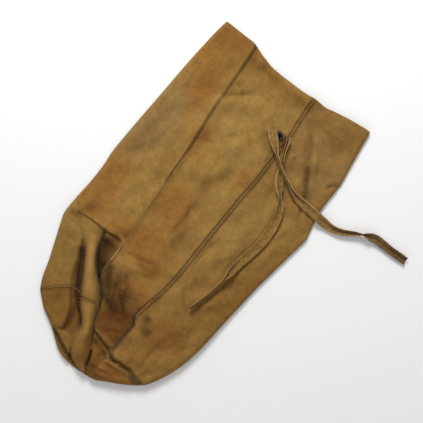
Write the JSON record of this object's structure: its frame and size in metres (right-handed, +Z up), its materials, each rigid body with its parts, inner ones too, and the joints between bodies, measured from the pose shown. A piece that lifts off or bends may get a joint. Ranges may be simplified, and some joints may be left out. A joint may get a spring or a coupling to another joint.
{
  "type": "mail sack",
  "caption": "Empty cotton duck mail sack lying flat, with a rounded base, bound base seam, hemmed mouth and a tie tape held by an eyelet.",
  "frame": {"origin": "centre of the sack's own box, without the free tape tails, on the surface it lies on", "axes": "+Z up from that surface, +Y from the sewn base to the mouth, +X to the right seen from above with the mouth ahead"},
  "size_m": [0.5641, 0.706, 0.0435],
  "materials": {
    "duck": "heavy plain-weave cotton duck, faded olive tan, stained and creased",
    "binding": "narrow cotton binding tape, grey-brown, worn",
    "tape": "flat woven cotton webbing, worn, its ends soiled",
    "thread": "dark waxed sewing thread",
    "eyelet_metal": "blackened brass, rubbed on its edge"
  },
  "bodies": {
    "root": {"body_panel": "duck", "base_panel": "duck", "base_seam_binding": "binding", "eyelet_patch": "duck", "eyelet_barrel": "eyelet_metal", "eyelet_washer": "eyelet_metal", "tie_tape_middle": "tape", "tie_tape_floor_tail": "tape", "tie_tape_sack_tail": "tape", "side_seam_thread_left": "thread", "side_seam_thread_right": "thread", "hem_thread": "thread", "base_seam_thread_upper": "thread", "base_seam_thread_lower": "thread", "patch_thread": "thread"}
  },
  "joints": []
}
